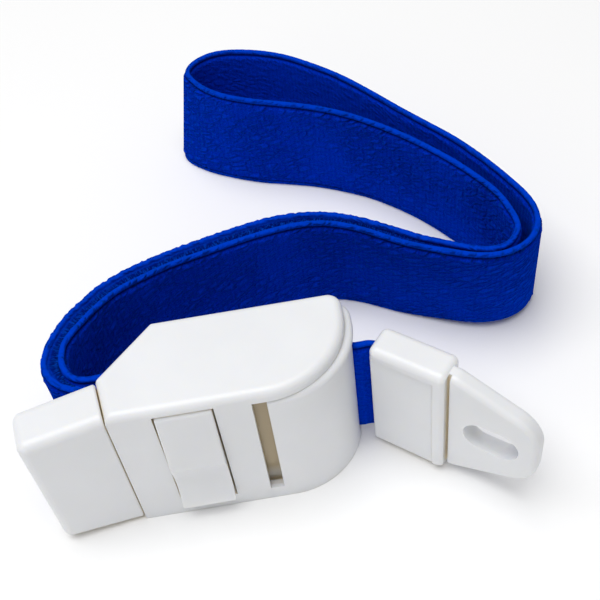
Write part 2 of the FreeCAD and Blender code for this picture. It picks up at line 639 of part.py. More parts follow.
# The strap leaves the tongue, passes behind the housing, runs out and back as a hairpin and
# returns to the housing's left end.  These corner points are at the middle of its thickness.
LOOP_START, LEAD_END = 22.3, 23.1
TABLE_FROM = 28.0                  # the strap's lower edge is on the table behind here
REAR_LIFT = 2.95                   # and this high along the housing's back
SHOULDER_RUN = ((-13.65, BEHIND), (-20.8, 3.3))
INNER_RUN = ((-28.4, 3.5), (-31.3, 8.2), (-30.9, 14.0), (-27.0, 19.8), (-20.0, 25.0), (-11.0, 28.6),
             (-1.0, 31.3), (9.5, 33.3), (19.0, 33.8), (27.2, 31.7), (34.5, 27.2), (41.2, 22.7))
RIGHT_BEND = ((47.8, 19.9), (54.4, 20.6), (59.4, 25.2), (60.6, 31.8))
FAR_RUN = ((55.6, 40.6), (48.8, 50.9), (42.2, 60.8), (35.2, 70.3), (27.6, 79.2), (19.0, 86.7), (9.6, 91.5))
FAR_END = ((0.4, 92.6), (-5.2, 88.4), (-4.2, 82.6))
NEAR_RUN = ((1.2, 78.6), (10.2, 74.9), (20.6, 69.8), (29.6, 64.6), (37.2, 58.2), (43.8, 51.0), (49.8, 43.4),
            (54.8, 36.4))
RIGHT_RETURN = ((57.4, 30.9), (56.2, 25.9), (52.4, 23.1), (47.8, 22.6))
OUTER_RUN = ((42.4, 25.1), (35.8, 29.5), (28.4, 34.2), (19.6, 36.6), (9.4, 36.2), (-1.6, 34.0), (-12.2, 30.9),
             (-21.6, 26.6), (-29.2, 20.6), (-33.4, 14.0), (-33.8, 7.4), (-31.2, 2.2), (-27.0, 0.9),
             (-21.5, 1.23))
ENTRY_RADIUS, CORNER_RADIUS = 2.4, 2.6
WRAP_EASE = 0.1                    # the strap straightens a little before it leaves the roller
STRAP_END_GAP = 0.8                # between the strap's end and the bottom of the grip's pocket


def lift_tools():
    """What is cut from a tall blank, so that the strap climbs from the table to the housing."""
    lift, width = "Size.strap_lift", "Size.strap_width"
    near, far, left, right, end, top = "-5", "110", "-45", "15", "70", f"{width} + 9"
    climb, flat_from, flat_to, divide = "6.6", "10", "11.9", "17"
    under = prism("strap_under", ((near, "-1"), (TABLE_FROM, "-1"), (TABLE_FROM, "0"), (flat_to, REAR_LIFT),
                                  (flat_from, REAR_LIFT), (climb, lift), (near, lift)),
                  left, f"{right} - ({left})", plane="YZ_Plane")
    over = prism("strap_over", ((near, f"{lift} + {width}"), (climb, f"{lift} + {width}"),
                                (flat_from, f"{REAR_LIFT} + {width}"), (flat_to, f"{REAR_LIFT} + {width}"),
                                (TABLE_FROM, width), (far, width), (far, top), (near, top)),
                 left, f"{right} - ({left})", plane="YZ_Plane")
    right_under = box("strap_right_under", (right, near, "-1"), (end, divide, REAR_LIFT))
    right_over = box("strap_right_over", (right, near, f"{REAR_LIFT} + {width}"), (end, divide, top))
    beyond = box("strap_beyond", (right, divide, width), (end, far, top))
    return under, over, right_under, right_over, beyond


def strap():
    wrap = size("wrap_radius")
    lean = math.radians(size("grip_angle"))
    roller = FreeCAD.Vector(size("roller_x"), size("roller_y"), 0)
    arrive = FreeCAD.Vector(*OUTER_RUN[-1], 0)
    # The arriving strand is tangent to the wrap circle above the roller.
    to_roller = roller - arrive
    rise = math.atan2(to_roller.y, to_roller.x) + math.asin(wrap / to_roller.Length)
    turn_x = roller.x + wrap
    upper = (turn_x, arrive.y + (turn_x - arrive.x) * math.tan(rise))
    leave = roller + FreeCAD.Vector(math.sin(lean), -math.cos(lean), 0) * wrap
    lower = (turn_x, leave.y + (turn_x - leave.x) * math.tan(lean))
    route = ((LOOP_START, HINGE_Y), (PASSAGE, HINGE_Y), (PASSAGE, BEHIND), *SHOULDER_RUN, *INNER_RUN,
             *RIGHT_BEND, *FAR_RUN, *FAR_END, *NEAR_RUN, *RIGHT_RETURN, *OUTER_RUN, upper, lower,
             (leave.x, leave.y))
    radii = bend_radii(route)
    radii[:3] = [ENTRY_RADIUS, CORNER_RADIUS, CORNER_RADIUS]
    radii[-2:] = [wrap, wrap - WRAP_EASE]
    flat = ribbon("strap_blank", route, radii, 0, size("strap_lift"))
    cut("strap_loop", flat, *lift_tools())

    # The pull strand runs straight from the roller into the grip.
    tail = doc.addObject("Part::Box", "strap_tail")
    grip_reach = size("grip_pocket_depth") - STRAP_END_GAP
    seam = FreeCAD.Vector(value(LEFT), value(FRONT), 0)
    out = FreeCAD.Vector(-math.cos(lean), -math.sin(lean), 0)
    tail.setExpression("Length", f"{(seam - leave).dot(out):.4f} + {grip_reach:.4f}")
    tail.setExpression("Width", "Size.strap_thickness")
    tail.setExpression("Height", "Size.strap_width")
    across = FreeCAD.Vector(-out.y, out.x, 0)
    corner = leave - across * (size("strap_thickness") / 2)
    tail.Placement = FreeCAD.Placement(FreeCAD.Vector(corner.x, corner.y, size("strap_lift")),
                                       FreeCAD.Rotation(FreeCAD.Vector(0, 0, 1), 180 + size("grip_angle")))

    # The lead runs from the drum's side into the tongue's pocket.
    turn = math.radians(size("tongue_angle"))
    along = FreeCAD.Vector(math.cos(turn), math.sin(turn), 0)
    inward = FreeCAD.Vector(-along.y, along.x, 0)
    pocket_middle = (POCKET_FRONT + POCKET_BACK) / 2
    pocket_reach = POCKET_DEPTH - 0.5
    inside = FreeCAD.Vector(TONGUE_AT[0], TONGUE_AT[1], 0) + inward * pocket_middle
    end = inside + along * pocket_reach
    bend_x = inside.x + (HINGE_Y - inside.y) / math.tan(turn)
    ribbon("strap_lead", ((end.x, end.y), (bend_x, HINGE_Y), (LEAD_END, HINGE_Y)), (ENTRY_RADIUS,),
           REAR_LIFT)


# ---------------------------------------------------------------- build and write

NODES = ("housing_base", "housing_cover", "cover_screw_1", "cover_screw_2", "cover_screw_3",
         "release_key", "key_pin", "key_spring", "strap_cam", "cam_pin", "cam_spring",
         "latch_lever", "latch_pin", "latch_spring", "guide_roller", "roller_pin",
         "grip_block", "grip_jaw", "tongue_body", "tongue_cover", "tongue_bar",
         "strap_loop", "strap_tail", "strap_lead")

housing_base()
housing_cover()
cover_screws()
release_key()
pins()
springs()
strap_cam()
latch_lever()
guide_roller()
grip()
tongue()
strap()
doc.recompute()

for item in doc.Objects:
    if "Invalid" in item.State or "Error" in item.State:
        raise RuntimeError(f"{item.Label} failed: {item.State}")

os.makedirs("parts", exist_ok=True)
for label in NODES:
    node = doc.getObjectsByLabel(label)[0]
    shape = node.Shape
    if shape.isNull() or not shape.isValid() or len(shape.Solids) != 1:
        raise RuntimeError(f"{label} is not one valid solid")
    shape.exportStep(f"parts/{label}.step")
    print(f"{label}: {shape.Volume:.1f} mm3")
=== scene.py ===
import math

import bpy
import numpy as np
from mathutils import Matrix, Vector


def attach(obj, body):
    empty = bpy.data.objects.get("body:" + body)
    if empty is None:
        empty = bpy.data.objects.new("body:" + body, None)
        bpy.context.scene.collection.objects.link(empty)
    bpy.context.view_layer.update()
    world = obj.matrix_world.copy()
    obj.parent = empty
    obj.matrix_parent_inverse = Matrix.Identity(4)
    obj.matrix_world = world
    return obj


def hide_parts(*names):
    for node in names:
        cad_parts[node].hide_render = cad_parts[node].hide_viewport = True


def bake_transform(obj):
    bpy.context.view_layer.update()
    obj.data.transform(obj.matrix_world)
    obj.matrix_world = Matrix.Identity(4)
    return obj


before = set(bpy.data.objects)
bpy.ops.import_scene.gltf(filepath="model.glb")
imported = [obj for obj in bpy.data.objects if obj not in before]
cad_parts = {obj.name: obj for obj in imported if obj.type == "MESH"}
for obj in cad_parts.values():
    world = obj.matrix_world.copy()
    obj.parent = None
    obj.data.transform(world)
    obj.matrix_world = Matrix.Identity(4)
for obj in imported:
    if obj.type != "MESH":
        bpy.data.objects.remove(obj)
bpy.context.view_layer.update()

MM = 0.001
scene = bpy.context.scene


# ---------------------------------------------------------------- node helpers

def new_material(name):
    """An empty material: its tree, its Principled shader and a maker of linked nodes."""
    material = bpy.data.materials.new(name)
    material.use_nodes = True
    tree = material.node_tree
    shader = tree.nodes["Principled BSDF"]

    def add(kind, values=None, settings=None, **links):
        """A new node. A link's name is the input's name, or _ and the input's number."""
        node = tree.nodes.new(kind)
        for key, setting in (settings or {}).items():
            setattr(node, key, setting)
        for key, number in (values or {}).items():
            node.inputs[key].default_value = number
        for key, source in links.items():
            tree.links.new(source, node.inputs[int(key[1:]) if key[0] == "_" else key])
        return node

    return material, tree, shader, add


def math_node(add, operation, first, second):
    """A Math node whose inputs are sockets or numbers."""
    node = add("ShaderNodeMath", settings={"operation": operation})
    for index, source in enumerate((first, second)):
        if isinstance(source, bpy.types.NodeSocket):
            node.id_data.links.new(source, node.inputs[index])
        else:
            node.inputs[index].default_value = source
    return node.outputs[0]


def weighted_sum(add, *terms):
    """The sum of (source, weight) pairs."""
    parts = [math_node(add, "MULTIPLY", source, weight) for source, weight in terms]
    total = parts[0]
    for part in parts[1:]:
        total = math_node(add, "ADD", total, part)
    return total


def ramp(add, source, stops):
    """A colour ramp over (position, colour) stops."""
    node = add("ShaderNodeValToRGB", _0=source)
    node.color_ramp.interpolation = "EASE"
    for element, (position, colour) in zip(node.color_ramp.elements, stops):
        element.position = position
        element.color = (*colour, 1.0)
    return node.outputs["Color"]


def mix(add, amount, first, second):
    """The first colour where the amount is 0 and the second, a socket or a colour, where it is 1."""
    # A Mix node takes its two colours in inputs 6 and 7 and gives the mixed one in output 2.
    node = add("ShaderNodeMix", settings={"data_type": "RGBA"}, _0=amount, _6=first)
    if isinstance(second, bpy.types.NodeSocket):
        node.id_data.links.new(second, node.inputs[7])
    else:
        node.inputs[7].default_value = (*second, 1.0)
    return node.outputs[2]


def noise(add, place, scale, detail, **more):
    """The grey level of a noise texture."""
    return add("ShaderNodeTexNoise", {"Scale": scale, "Detail": detail, **more}, Vector=place).outputs["Fac"]


def attribute(add, name):
    """A value painted on the mesh's points."""
    return add("ShaderNodeAttribute", settings={"attribute_name": name}).outputs["Fac"]


def grey(level):
    return (level, level, level)


# ---------------------------------------------------------------- materials

WHITE = (0.80, 0.81, 0.83)
# Painted warm shade, drawn into the shell's gaps.
GAP_SHADE_TAN = (0.84, 0.74, 0.55)
# The parts inside the housing: a darker, warmer colour as painted shade inside the housing, and a brown as
# painted shade deep in their gaps.
INNER_SHADED_CREAM, INNER_GAP_SHADE = (0.62, 0.58, 0.50), (0.30, 0.26, 0.18)
GLOSSY, DULLER = 0.32, 0.42         # roughness of the shell and of the parts inside it
GAP_SHADE_REACH = 2.2 * MM                # how far the painted warm shade in a gap reaches
MOTTLE = 0.965                      # the darker clouds of the plastic, as a share of its colour

# The hollow behind the window in millimetres, the tan of the painted shade on the plastic there, and the
# heights between which the painted shade fades in.
WINDOW_HOLLOW = ((2.0, -8.9, 2.9), (5.4, -6.4, 31.0))
HOLLOW_SHADE_TAN = (0.52, 0.42, 0.26)
HOLLOW_SHADE_FADE = (2.6, 7.0)

FACE_DARK, FACE_PALE = (0.0, 0.012, 0.30), (0.0, 0.033, 0.56)
RIM_BLUE = (0.0, 0.040, 0.52)
# Painted shade drawn in the groove under each rolled rim.
GROOVE_SHADE_BLUE = (0.0, 0.004, 0.10)
COARSE_DARK, COARSE_PALE = (0.0, 0.005, 0.14), (0.001, 0.070, 0.60)
SHEEN_BLUE = (0.0, 0.16, 0.80)
SLANT, STRETCH, SWAY = math.radians(22), 2.3, 1.6    # of the webbing's wrinkles


def inside_box(add, place, low, high):
    """1 inside a box given in millimetres, 0 outside."""
    parts = add("ShaderNodeSeparateXYZ", _0=place).outputs
    inside = 1.0
    for axis in range(3):
        above = math_node(add, "GREATER_THAN", parts[axis], low[axis] * MM)
        below = math_node(add, "LESS_THAN", parts[axis], high[axis] * MM)
        inside = math_node(add, "MULTIPLY", math_node(add, "MULTIPLY", above, below), inside)
    return inside


def moulded_plastic(name, colour, gap_shade_colour, roughness, hollow=None):
    """Glossy moulded plastic: faint mottling, uneven gloss, orange peel, and painted warm shade deep in its
    gaps and, if a hollow is given, inside it.
    """
    material, tree, shader, add = new_material(name)
    place = add("ShaderNodeTexCoord").outputs["Object"]
    clouds = noise(add, place, 55.0, 3.0)
    peel = noise(add, place, 900.0, 2.0)
    scuffs = noise(add, place, 260.0, 6.0, Roughness=0.7)
    darker = tuple(MOTTLE * channel for channel in colour)
    body = ramp(add, clouds, [(0.3, darker), (0.7, colour)])
    # Painted shade: where the ambient occlusion finds a narrow gap, the colour turns to the gap's tan.
    shade = add("ShaderNodeAmbientOcclusion", {"Distance": GAP_SHADE_REACH}, {"samples": 6})
    depth = ramp(add, shade.outputs["AO"], [(0.10, grey(1.0)), (0.55, grey(0.0))])
    finished = mix(add, depth, body, gap_shade_colour)
    # Painted shade: inside the hollow behind the window the colour turns tan, fading in above its lowest few
    # millimetres.
    if hollow:
        height = add("ShaderNodeSeparateXYZ", _0=place).outputs["Z"]
        fade = {"From Min": HOLLOW_SHADE_FADE[0] * MM, "From Max": HOLLOW_SHADE_FADE[1] * MM}
        rise = add("ShaderNodeMapRange", fade, _0=height).outputs["Result"]
        hollow_shade = math_node(add, "MULTIPLY", inside_box(add, place, *hollow), rise)
        finished = mix(add, hollow_shade, finished, HOLLOW_SHADE_TAN)
    tree.links.new(finished, shader.inputs["Base Color"])
    gloss = ramp(add, scuffs, [(0.35, grey(roughness)), (0.75, grey(roughness + 0.10))])
    tree.links.new(gloss, shader.inputs["Roughness"])
    bump = add("ShaderNodeBump", {"Strength": 0.04, "Distance": 0.012 * MM}, Height=peel)
    tree.links.new(bump.outputs[0], shader.inputs["Normal"])
    shader.inputs["IOR"].default_value = 1.48
    shader.inputs["Subsurface Weight"].default_value = 0.35
    shader.inputs["Subsurface Radius"].default_value = (1.0, 0.86, 0.62)
    shader.inputs["Subsurface Scale"].default_value = 1.2 * MM
    return material


def drawn_steel(name):
    """Drawn wire and turned pins: fine rings along the metal, with dull patches."""
    material, tree, shader, add = new_material(name)
    place = add("ShaderNodeTexCoord").outputs["Object"]
    wave = {"Scale": 1500.0, "Distortion": 1.5, "Detail": 2.0}
    rings = add("ShaderNodeTexWave", wave, Vector=place).outputs["Fac"]
    patches = noise(add, place, 400.0, 4.0)
    colour = ramp(add, patches, [(0.3, (0.42, 0.42, 0.43)), (0.7, (0.62, 0.62, 0.63))])
    tree.links.new(colour, shader.inputs["Base Color"])
    tree.links.new(ramp(add, patches, [(0.3, grey(0.45)), (0.7, grey(0.28))]), shader.inputs["Roughness"])
    bump = add("ShaderNodeBump", {"Strength": 0.15, "Distance": 0.02 * MM}, Height=rings)
    tree.links.new(bump.outputs[0], shader.inputs["Normal"])
    shader.inputs["Metallic"].default_value = 1.0
    return material


def webbing(name):
    """Elastic webbing: fine crosswise ribs, slanting wrinkles on its faces, paler rolled rims, and painted
    shade in the groove below each rim and along the wrinkles' creases.
    """
    material, tree, shader, add = new_material(name)
    rim, outer = attribute(add, "rim"), attribute(add, "wrinkled")
    coarse, groove = attribute(add, "coarse"), attribute(add, "groove")
    cloth = add("ShaderNodeCombineXYZ", X=attribute(add, "along_mm"), Y=attribute(add, "across_mm"))
    flat = cloth.outputs[0]

    # Slanting wrinkles: plump cells between narrow creases, about a millimetre apart, in patches.
    slant = add("ShaderNodeMapping", {"Rotation": (0, 0, SLANT), "Scale": (STRETCH, 1.0, 1.0)},
                {"vector_type": "TEXTURE"}, Vector=flat).outputs[0]
    swirl = add("ShaderNodeTexNoise", {"Scale": 0.7, "Detail": 2.0}, Vector=slant).outputs["Color"]
    bent = add("ShaderNodeVectorMath", {1: (SWAY, SWAY, 0.0)}, {"operation": "MULTIPLY_ADD"},
               _0=swirl, _2=slant).outputs[0]
    cells = add("ShaderNodeTexVoronoi", {"Scale": 0.80}, {"feature": "DISTANCE_TO_EDGE"}, Vector=bent)
    plump = ramp(add, cells.outputs["Distance"], [(0.0, grey(0.0)), (0.32, grey(1.0))])
    strength = ramp(add, noise(add, flat, 0.06, 2.0), [(0.30, grey(0.5)), (0.60, grey(1.0))])
    patches = math_node(add, "MULTIPLY", strength, outer)
    creases = math_node(add, "MULTIPLY", plump, patches)

    # Crosswise ribs of the weave, the grain of its yarn, and the loose loops of the coarse edge.
    ribs = add("ShaderNodeTexWave", {"Scale": 0.30, "Distortion": 2.2, "Detail": 3.0, "Detail Scale": 1.4},
               {"wave_type": "BANDS", "bands_direction": "X"}, Vector=flat).outputs["Fac"]
    yarn = noise(add, flat, 3.4, 4.0, Roughness=0.7)
    loops = noise(add, flat, 2.6, 3.0, Roughness=0.6, Distortion=0.4)
    loose = math_node(add, "MULTIPLY", loops, coarse)
    height = weighted_sum(add, (creases, 0.95), (ribs, 0.09), (yarn, 0.12), (loose, 1.5))
    bump = add("ShaderNodeBump", {"Strength": 0.9, "Distance": 1.0 * MM}, Height=height)
    tree.links.new(bump.outputs[0], shader.inputs["Normal"])

    # Painted shade: the face is drawn darker along the creases between the plump cells.
    hollow = math_node(add, "SUBTRACT", patches, creases)
    tone = weighted_sum(add, (yarn, 1.0), (hollow, -0.16), (ribs, 0.05))
    face = ramp(add, tone, [(0.22, FACE_DARK), (0.66, FACE_PALE)])
    # Painted shade: the groove below the rim is drawn dark blue.
    edged = mix(add, rim, mix(add, groove, face, GROOVE_SHADE_BLUE), RIM_BLUE)
    speckle = ramp(add, loops, [(0.44, COARSE_DARK), (0.68, COARSE_PALE)])
    tree.links.new(mix(add, coarse, edged, speckle), shader.inputs["Base Color"])
    tree.links.new(ramp(add, yarn, [(0.3, grey(0.62)), (0.7, grey(0.48))]), shader.inputs["Roughness"])
    shader.inputs["Specular IOR Level"].default_value = 0.0
    shader.inputs["Sheen Weight"].default_value = 0.22
    shader.inputs["Sheen Roughness"].default_value = 0.5
    shader.inputs["Sheen Tint"].default_value = (*SHEEN_BLUE, 1.0)
    return material


def floor_paint(name):
    """Matt white paint with the faintest of clouds in it."""
    material, tree, shader, add = new_material(name)
    place = add("ShaderNodeTexCoord").outputs["Object"]
    colour = ramp(add, noise(add, place, 6.0, 2.0), [(0.3, grey(0.95)), (0.7, grey(0.96))])
    tree.links.new(colour, shader.inputs["Base Color"])
    shader.inputs["Roughness"].default_value = 0.9
    shader.inputs["Specular IOR Level"].default_value = 0.1
    return material


PLASTIC = moulded_plastic("white_plastic", WHITE, GAP_SHADE_TAN, GLOSSY)
BASE_PLASTIC = moulded_plastic("base_plastic", WHITE, GAP_SHADE_TAN, GLOSSY, hollow=WINDOW_HOLLOW)
INNER_PLASTIC = moulded_plastic("mechanism_plastic", INNER_SHADED_CREAM, INNER_GAP_SHADE, DULLER)
STEEL = drawn_steel("drawn_steel")
WEBBING = webbing("blue_webbing")

STEEL_NODES = ("cover_screw_1", "cover_screw_2", "cover_screw_3", "key_pin", "key_spring", "cam_pin",
               "cam_spring", "latch_pin", "latch_spring", "roller_pin")
INNER_NODES = ("strap_cam", "latch_lever", "guide_roller", "grip_jaw", "tongue_bar")
STRAP_NODES = ("strap_loop", "strap_tail", "strap_lead")


def dress(node, material):
    """Gives every slot of a CAD node one material."""
    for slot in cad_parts[node].material_slots:
        slot.material = material


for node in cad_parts:
    if node in STEEL_NODES:
        dress(node, STEEL)
    elif node in INNER_NODES:
        dress(node, INNER_PLASTIC)
    elif node == "housing_base":
        dress(node, BASE_PLASTIC)
    elif node not in STRAP_NODES:
        dress(node, PLASTIC)


# ---------------------------------------------------------------- strap

STRAP_WIDTH = 25.0
SAMPLE = 0.4                        # one ring of the mesh every so many millimetres
SPAN_STEPS = 40                     # samples of the raw curve between two points of a route
AVERAGE_REACH = 4                   # how many samples the running average takes on each side

# Height of the strap's lower edge against y: on the table at the back, climbing to the housing. Near
# the housing's right end it stands at one height.
CLIMB_Y = (6.6, 10.0, 11.9, 28.0)
CLIMB_HEIGHT = (3.7, 2.95, 2.95, 0.0)
REAR_LIFT, REAR_LIFT_FROM_X, REAR_LIFT_TO_Y = 2.95, 15.0, 17.0

# Middle line of the strap, in millimetres: x, y, then how far its top edge leans in x and in y.
# It comes out of the tongue, goes behind the housing, out and back as a hairpin, and in at the left end.
LEAD = ((28.6, -2.2, 0, 0), (26.4, -0.45, 0, 0), (24.7, 0.9, 0, 0), (23.4, 1.35, 0, 0),
        (22.0, 1.25, 0, 0), (20.3, 1.35, 0, 0), (19.5, 2.6, 0, 0), (19.6, 5.0, 0, 0),
        (19.6, 7.4, 0, 0), (19.55, 9.8, 0, 0), (18.2, 10.95, 0, 0), (15.5, 10.95, 0, 0),
        (10.0, 10.95, 0, 0), (0.0, 10.95, 0, 0), (-8.0, 10.95, 0, 0),
        (-12.4, 10.95, 0, 0), (-14.6, 9.9, 0, 0), (-17.2, 7.2, 0, 0), (-19.4, 4.9, 0, 0))
INNER_RUN = ((-21.7, 3.2, 0, 0), (-24.2, 2.8, 0, 0), (-26.3, 3, 0, 0), (-28.1, 4, 0, 0), (-29.3, 5.9, 0, 0),
             (-30, 8.8, 0, 0), (-29.9, 11.2, 0, 0), (-28.9, 14.2, 0, 0), (-26.9, 17.4, 0, 0),
             (-24.3, 21.1, 0, 0), (-20.7, 24.9, 0, 0), (-16, 27.7, 0, 0), (-10.1, 30, 0, 0),
             (-4.2, 31.5, 0, 0), (2.8, 33.3, 0, -0.1), (9.8, 34.8, 0, -0.3), (15.8, 35.5, 0, -0.5),
             (21.6, 34.8, 0, -0.8), (27.1, 32.3, 0, -1.1), (32.3, 28.9, 0, -1.4), (37.4, 25.6, -0.1, -1.7),
             (42.4, 22.9, -0.1, -1.9))
RIGHT_BEND = ((47.4, 20.5, 0, -2), (51.6, 19.8, -0.1, -1.9), (55.1, 20.5, -0.2, -1.7),
              (58.1, 22.4, -0.3, -1.5), (60.4, 25.7, -0.3, -1.1), (61.2, 29.5, -0.3, -0.8),
              (60.5, 33.3, -0.2, -0.6))
FAR_RUN = ((58.5, 38.2, -0.2, -0.4), (55, 45.2, -0.1, -0.3), (50.6, 52.5, -0.1, -0.1), (45.8, 58.8, 0, -0.1),
           (41.5, 64.4, 0, 0), (36.3, 71.7, 0, 0), (30.8, 78.8, 0, 0), (24.8, 84.9, 0, 0),
           (18.4, 90, 0.2, 0), (11.4, 93.4, 0.4, 0))
FAR_END = ((3.7, 95.1, 1.1, 0), (-1, 94.5, 1.8, 0), (-4.3, 92.2, 2, 0), (-5.6, 89.6, 2.3, 0),
           (-4.6, 86.7, 2.4, 0))
NEAR_RUN = ((-1.1, 82.4, 1.5, 0), (4.1, 78.5, 0.5, 0), (9.9, 75.5, 0.1, 0), (16.4, 73, 0, -0.2),
            (22.7, 70.4, 0, -0.4), (28.8, 67, 0, -0.6), (34.5, 62.9, 0, -1), (40, 57.8, 0, -1.2),
            (44.3, 53, -0.1, -1.2), (48.4, 47.6, -0.1, -1.1), (52.2, 41.6, -0.2, -0.9),
            (55.2, 35.7, -0.2, -0.8), (56.5, 31.3, -0.3, -1))
RIGHT_RETURN = ((56.8, 27.1, -0.2, -1.3), (55.5, 24.3, -0.2, -1.6), (52.8, 21.9, -0.1, -1.8),
                (49.6, 21.7, -0.1, -1.9), (46.2, 23.1, -0.1, -1.9))
OUTER_RUN = ((42.3, 25.6, -0.1, -1.8), (37.9, 28.3, -0.1, -1.6), (32.8, 31.5, 0, -1.3), (27.5, 34.7, 0, -1),
             (22, 37, 0, -0.7), (16.2, 38, 0, -0.4), (10.2, 37.9, 0, -0.2), (3.1, 36.6, 0, -0.1),
             (-4, 34.8, 0, 0), (-10, 33.2, 0, 0), (-15.9, 31.2, 0, 0), (-20.8, 29, 0, 0),
             (-24.6, 26.2, 0, 0), (-26.8, 23.3, 0, 0), (-28.6, 21.2, 0, 0), (-30.2, 18.5, 0, 0),
             (-31.7, 15.1, 0, 0), (-32.8, 11.3, 0, 0), (-33.1, 8.1, 0, 0), (-32.5, 5.9, 0, 0),
             (-31.3, 3.8, 0, 0), (-29.4, 2, 0, 0), (-26.6, 0.9, 0, 0), (-24, 0.35, 0, 0),
             (-21.5, 0.95, 0, 0), (-18, 2.1, 0, 0), (-14, 3.2, 0, 0))
ROUTE = LEAD + INNER_RUN + RIGHT_BEND + FAR_RUN + FAR_END + NEAR_RUN + RIGHT_RETURN + OUTER_RUN


def spline(points):
    """A smooth curve through the points, evenly sampled: its lengths and its places."""
    before, after = 2 * np.array(points[0]) - points[1], 2 * np.array(points[-1]) - points[-2]
    knots = np.array([before, *points, after], float)
    gaps = np.sqrt(np.linalg.norm(np.diff(knots[:, :2], axis=0), axis=1))
    times = np.concatenate([[0], np.cumsum(gaps)])
    runs = []
    for index in range(1, len(knots) - 2):
        t0, t1, t2, t3 = times[index - 1:index + 3]
        t = np.linspace(t1, t2, SPAN_STEPS, endpoint=False)[:, None]
        p0, p1, p2, p3 = knots[index - 1:index + 3]
        a1 = ((t1 - t) * p0 + (t - t0) * p1) / (t1 - t0)
        a2 = ((t2 - t) * p1 + (t - t1) * p2) / (t2 - t1)
        a3 = ((t3 - t) * p2 + (t - t2) * p3) / (t3 - t2)
        b1 = ((t2 - t) * a1 + (t - t0) * a2) / (t2 - t0)
        b2 = ((t3 - t) * a2 + (t - t1) * a3) / (t3 - t1)
        runs.append(((t2 - t) * b1 + (t - t1) * b2) / (t2 - t1))
    line = resample(np.vstack([*runs, knots[-2:-1]]))[1]
    # A short running average takes out the jumps of curvature at the points.
    reach = AVERAGE_REACH
    weights = np.hanning(2 * reach + 3)[1:-1]
    padded = np.vstack([2 * line[0] - line[reach:0:-1], line, 2 * line[-1] - line[-2:-reach - 2:-1]])
    smooth = [np.convolve(padded[:, axis], weights / weights.sum(), "valid") for axis in range(line.shape[1])]
    return resample(np.column_stack(smooth))


def resample(line):
    """The same line with its points SAMPLE apart."""
    travel = np.concatenate([[0], np.cumsum(np.linalg.norm(np.diff(line[:, :2], axis=0), axis=1))])
    even = np.linspace(0, travel[-1], int(round(travel[-1] / SAMPLE)) + 1)
    return even, np.column_stack([np.interp(even, travel, line[:, axis]) for axis in range(line.shape[1])])


# Half of the strap's section, from its rim down: depth below the rim, half thickness.
RIM = ((0.0, 0.0), (0.03, 0.24), (0.14, 0.42), (0.36, 0.54), (0.62, 0.54), (0.84, 0.42),
       (0.98, 0.32), (1.18, 0.32), (1.38, 0.58), (1.60, 0.84), (1.95, 0.90), (2.5, 0.90),
       (3.4, 0.90), (5.0, 0.90), (7.4, 0.90), (9.9, 0.90), (12.5, 0.90))
BEAD_DEPTH, BEAD_FADE = 0.98, 0.14  # the paler bead along the rim ends here, over this depth
# Where the groove's painted shade lies below the rim, and how far it spreads.
GROOVE_SHADE_AT, GROOVE_SHADE_REACH = 1.10, 0.24
RIM_REACH = 1.5                     # the rim's ripples die out at this depth
STITCH_AT, STITCH_REACH = 1.9, 0.55  # a row of small dents below the groove

# Ripples along the strap: the length of a wave and a seed, then how strong each is. Each one is a sum
# of sines whose waves are these shares of its length.
RIPPLE_SHARES, RIPPLE_TOTAL = (0.61, 0.83, 1.0, 1.27, 1.7), 3
SCALLOP_WAVE, PINCH_WAVE, SWELL_WAVE = (1.7, 5), (1.45, 11), (9.0, 23)
SCALLOP, FRAYED_SCALLOP = 0.03, 0.13
PINCH, WHOLE_PINCH = 0.10, 0.4      # the second is the share left where the rim is not frayed
SWELL = 0.05
FRAY_FROM, FRAY_GROWTH = 390, 30    # the rim frays from here on, fully after that many millimetres more

# Where the strap's returning run has a coarse ledge on the side of the inner run: its width against
# the length along, and the share of it against the depth below the top edge.
COARSE_ALONG = (395.0, 425.0, 460.0, 480.0, 496.0, 506.0)
COARSE_WIDTH = (0.0, 0.6, 1.25, 1.5, 1.8, 0.0)
COARSE_DEPTH = (0.8, 1.15, 1.5, 3.0, 6.0)
COARSE_SHARE = (0.0, 0.8, 1.0, 0.9, 0.0)
COARSE_FULL = 0.5                   # a ledge this wide is fully coarse

CALM, WRINKLED = 0.35, 0.65         # wrinkles of every face, and what the right-hand face adds
LOWEST = 0.02 * MM                  # no point of the strap is nearer to the table


def section():
    """The whole closed section, once round: each point's height and its offset to the side."""
    upper = [(STRAP_WIDTH - depth, half) for depth, half in reversed(RIM[:-1])]
    left = [*RIM, *upper]
    right = [(height, -half) for height, half in reversed(left[1:-1])]
    return np.array(left + right)


def wobble(along, period, seed):
    """A smooth seeded ripple, mostly between -1 and 1, whose waves are about one period long."""
    draws = np.random.default_rng(seed)
    total = np.zeros_like(along)
    for share in RIPPLE_SHARES:
        total += np.sin(2 * math.pi * along / (period * share) + draws.uniform(0, 2 * math.pi))
    return total / RIPPLE_TOTAL


def bell(distance, reach):
    """1 at no distance, falling smoothly to 0 over about twice the reach."""
    return math.exp(-(distance / reach) ** 2)


def base_height(x, y):
    """How high the strap's lower edge stands."""
    lifted = (x > REAR_LIFT_FROM_X) & (y < REAR_LIFT_TO_Y)
    return np.where(lifted, REAR_LIFT, np.interp(y, CLIMB_Y, CLIMB_HEIGHT))


